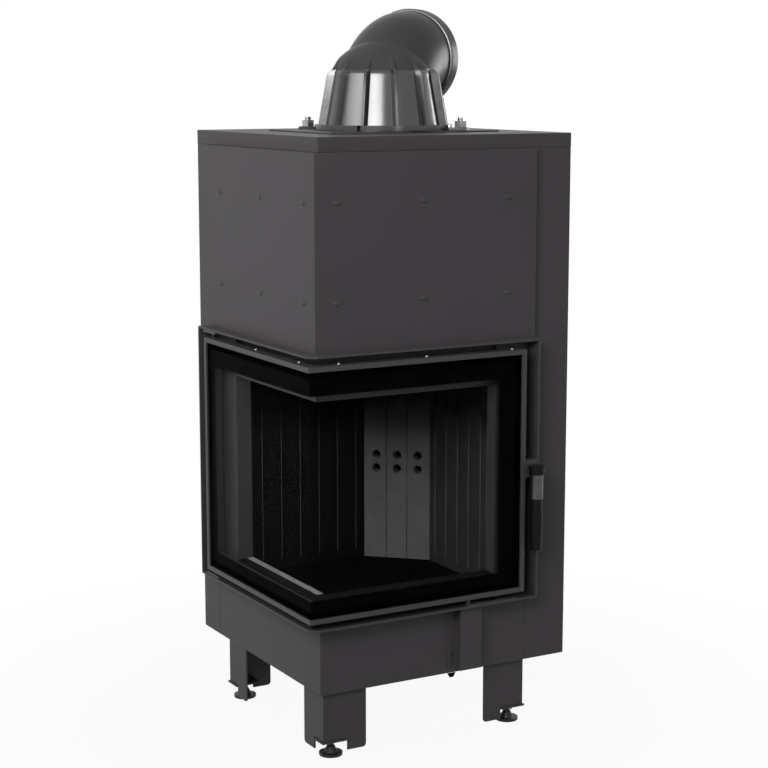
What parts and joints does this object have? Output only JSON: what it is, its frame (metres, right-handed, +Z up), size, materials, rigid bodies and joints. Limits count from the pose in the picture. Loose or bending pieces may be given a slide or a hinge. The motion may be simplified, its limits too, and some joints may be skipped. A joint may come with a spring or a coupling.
{
  "type": "fireplace insert",
  "caption": "Tall built-in wood fireplace insert with an L-shaped corner glass door, lined fire chamber, folded legs and a finned rotating flue outlet.",
  "frame": {"origin": "on the floor, under the middle of the whole outline", "axes": "+X to the right along the front, +Y to the back, +Z up; the door wraps the front left corner"},
  "size_m": [0.628, 0.637, 1.492],
  "materials": {
    "casing_paint": "matte dark grey",
    "inner_steel": "matte black",
    "door_paint": "satin black",
    "glass": "clear heat-proof glass",
    "rope": "woven glass fibre",
    "lining": "matte fired clay",
    "flue_iron": "glossy dark coating",
    "zinc_steel": "zinc plated",
    "ferrule_steel": "satin steel",
    "grip_black": "satin black"
  },
  "bodies": {
    "body": {"air_box": "casing_paint", "air_intake": "inner_steel", "air_slide_pins": "zinc_steel", "base_jacket": "casing_paint", "base_plate": "inner_steel", "chamber_floor": "inner_steel", "chamber_rear_wall": "inner_steel", "chamber_right_wall": "inner_steel", "chamber_roof": "inner_steel", "clamp_ring": "flue_iron", "corner_lining": "lining", "flue_neck": "inner_steel", "flue_plate": "casing_paint", "flue_studs": "zinc_steel", "foot_plates": "casing_paint", "front_lintel": "casing_paint", "front_sill": "casing_paint", "hearth_slab": "lining", "hinge_pins": "zinc_steel", "hinge_plates": "door_paint", "hood_wall": "inner_steel", "jacket_standoffs": "casing_paint", "latch_keeper": "door_paint", "left_lintel": "casing_paint", "left_sill": "casing_paint", "legs": "casing_paint", "rear_casing": "casing_paint", "rear_lining": "lining", "rear_post": "casing_paint", "right_casing": "casing_paint", "right_lining": "lining", "right_post": "casing_paint", "smoke_baffle": "lining", "surround_bottom_lip": "casing_paint", "surround_rear_lip": "casing_paint", "surround_right_lip": "casing_paint", "surround_top_lip": "casing_paint", "top_cover": "casing_paint", "upper_jacket": "casing_paint"},
    "door": {"door_frame": "door_paint", "front_glass": "glass", "side_glass": "glass", "glass_tape": "rope", "door_seal": "rope", "hinge_blocks": "door_paint", "handle_bracket": "door_paint"},
    "handle": {"latch_finger": "zinc_steel", "handle_hub": "grip_black", "handle_ferrule": "ferrule_steel", "handle_grip": "grip_black"},
    "air_control": {"air_slide": "zinc_steel"},
    "flue_turntable": {"flue_base": "flue_iron"},
    "flue_outlet_elbow": {"flue_elbow": "flue_iron", "flue_collar": "flue_iron"},
    "front_left_foot": {"foot_front_left": "zinc_steel"},
    "front_right_foot": {"foot_front_right": "zinc_steel"},
    "rear_left_foot": {"foot_rear_left": "zinc_steel"},
    "rear_right_foot": {"foot_rear_right": "zinc_steel"}
  },
  "joints": [
    {"name": "door_swing", "type": "hinge", "parent": "body", "child": "door", "pos_m": [-0.295, 0.1885, 0.5535], "axis": [0, 0, -1], "range_deg": [0, 100]},
    {"name": "handle_turn", "type": "hinge", "parent": "door", "child": "handle", "pos_m": [0.198, -0.3025, 0.5585], "axis": [0, -1, 0], "range_deg": [0, 90]},
    {"name": "air_control_slide", "type": "slide", "parent": "body", "child": "air_control", "axis": [1, 0, 0], "range_m": [0, 0.04]},
    {"name": "flue_base_turn", "type": "hinge", "parent": "body", "child": "flue_turntable", "pos_m": [0.03, 0.0355, 1.246], "axis": [0, 0, 1], "continuous": true},
    {"name": "flue_elbow_turn", "type": "hinge", "parent": "flue_turntable", "child": "flue_outlet_elbow", "pos_m": [0.0555, 0.0527, 1.3521], "axis": [0.5707, 0.3849, 0.7254], "continuous": true},
    {"name": "front_left_foot_screw", "type": "slide", "parent": "body", "child": "front_left_foot", "axis": [0, 0, -1], "range_m": [0, 0.02]},
    {"name": "front_right_foot_screw", "type": "slide", "parent": "body", "child": "front_right_foot", "axis": [0, 0, -1], "range_m": [0, 0.02]},
    {"name": "rear_left_foot_screw", "type": "slide", "parent": "body", "child": "rear_left_foot", "axis": [0, 0, -1], "range_m": [0, 0.02]},
    {"name": "rear_right_foot_screw", "type": "slide", "parent": "body", "child": "rear_right_foot", "axis": [0, 0, -1], "range_m": [0, 0.02]}
  ]
}
